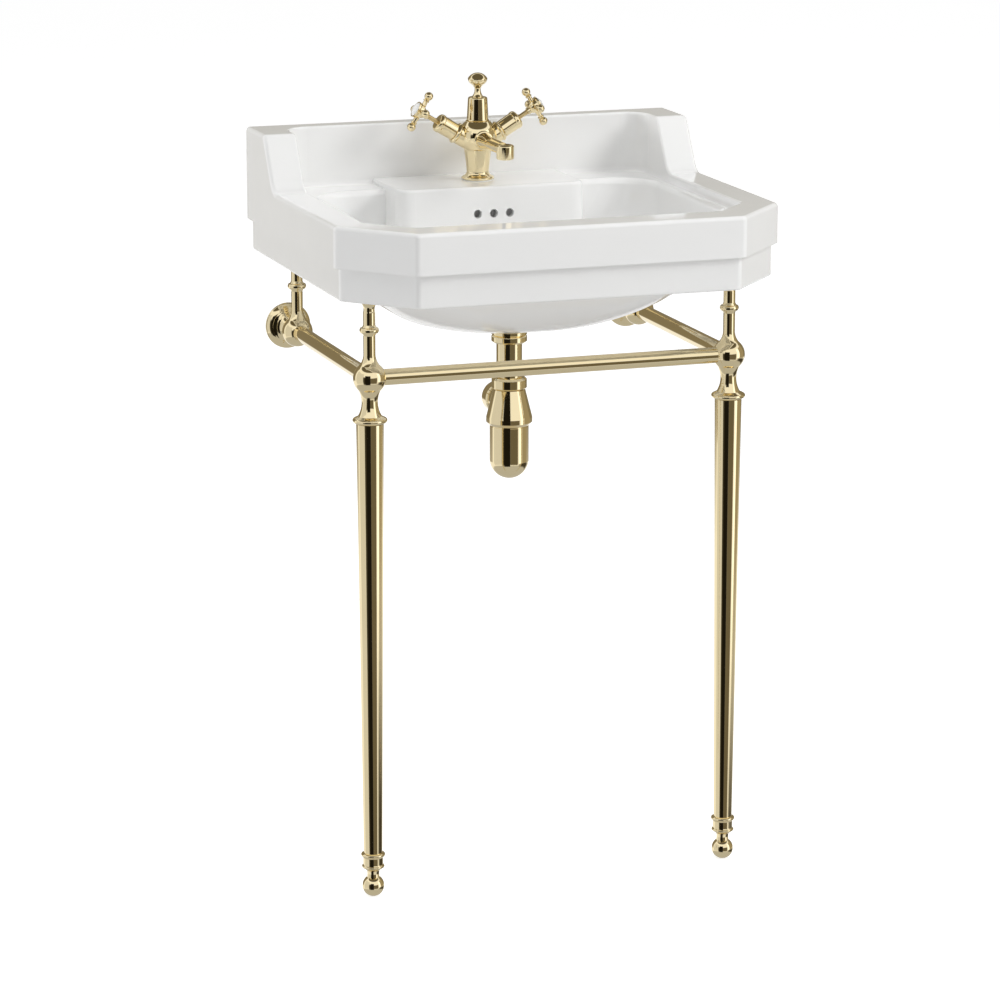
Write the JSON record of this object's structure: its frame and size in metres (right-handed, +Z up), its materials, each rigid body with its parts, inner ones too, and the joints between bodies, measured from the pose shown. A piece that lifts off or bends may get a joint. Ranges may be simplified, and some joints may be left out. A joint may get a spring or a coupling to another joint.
{
  "type": "console sink with legs",
  "caption": "White ceramic console basin with an upstand on a turned gold stand with front legs and rails, with a matching one-hole tap, push plug and bottle trap",
  "frame": {"origin": "on the floor, under the middle of the basin's width and depth", "axes": "+X to the user's right, +Y towards the wall, +Z up"},
  "size_m": [0.56, 0.47, 0.9656],
  "materials": {
    "glazed_ceramic": "white glazed ceramic, high gloss",
    "polished_gold": "polished pale gold plating on brass",
    "index_ceramic": "white glazed button",
    "rubber": "black rubber",
    "plastic": "white moulded plastic",
    "raw_brass": "machined brass",
    "steel": "plain steel"
  },
  "bodies": {
    "root": {"basin": "glazed_ceramic", "cold_cartridge": "raw_brass", "cold_valve_cover": "polished_gold", "foot_ferrules": "polished_gold", "front_joint_left": "polished_gold", "front_joint_right": "polished_gold", "front_rail": "polished_gold", "hot_cartridge": "raw_brass", "hot_valve_cover": "polished_gold", "leg_left": "polished_gold", "leg_right": "polished_gold", "plug_cartridge": "plastic", "rear_joint_left": "polished_gold", "rear_joint_right": "polished_gold", "side_rail_left": "polished_gold", "side_rail_right": "polished_gold", "spout_nozzle": "polished_gold", "spout_straightener": "plastic", "tail_pipe": "polished_gold", "tap_back_nut": "raw_brass", "tap_base_gasket": "plastic", "tap_body": "polished_gold", "tap_column": "polished_gold", "tap_finial": "polished_gold", "tap_metal_washer": "steel", "tap_rubber_washer": "rubber", "tap_shank": "raw_brass", "trap_body": "polished_gold", "trap_cup": "polished_gold", "trap_cup_seal": "rubber", "trap_dip_tube": "plastic", "trap_inlet_nut": "polished_gold", "trap_inlet_seal": "rubber", "trap_outlet_nut": "polished_gold", "trap_outlet_seal": "rubber", "upright_front_left": "polished_gold", "upright_front_right": "polished_gold", "upright_pads": "rubber", "upright_rear_left": "polished_gold", "upright_rear_right": "polished_gold", "wall_plates": "steel", "wall_rose_left": "polished_gold", "wall_rose_right": "polished_gold", "waste_back_nut": "polished_gold", "waste_body": "polished_gold", "waste_flange_seal": "rubber", "waste_under_seal": "plastic", "waste_union_nut": "polished_gold", "waste_union_washer": "rubber"},
    "hot_valve": {"hot_handle": "polished_gold", "hot_index": "index_ceramic", "hot_spindle": "raw_brass"},
    "cold_valve": {"cold_handle": "polished_gold", "cold_index": "index_ceramic", "cold_spindle": "raw_brass"},
    "plug": {"plug_cap": "polished_gold", "plug_stem": "raw_brass", "plug_seal": "rubber"},
    "foot_left": {"foot_left": "polished_gold"},
    "foot_right": {"foot_right": "polished_gold"}
  },
  "joints": [
    {"name": "hot_valve_turn", "type": "hinge", "parent": "root", "child": "hot_valve", "pos_m": [-0.07563, 0.1596, 0.91965], "axis": [-0.8526, 0, 0.5225], "range_deg": [0, 90]},
    {"name": "cold_valve_turn", "type": "hinge", "parent": "root", "child": "cold_valve", "pos_m": [0.07563, 0.1596, 0.91965], "axis": [0.8526, 0, 0.5225], "range_deg": [-90, 0]},
    {"name": "plug_lift", "type": "slide", "parent": "root", "child": "plug", "axis": [0, 0, 1], "range_m": [0, 0.008]},
    {"name": "foot_left_screw", "type": "slide", "parent": "root", "child": "foot_left", "axis": [0, 0, -1], "range_m": [0, 0.01]},
    {"name": "foot_right_screw", "type": "slide", "parent": "root", "child": "foot_right", "axis": [0, 0, -1], "range_m": [0, 0.01]}
  ]
}
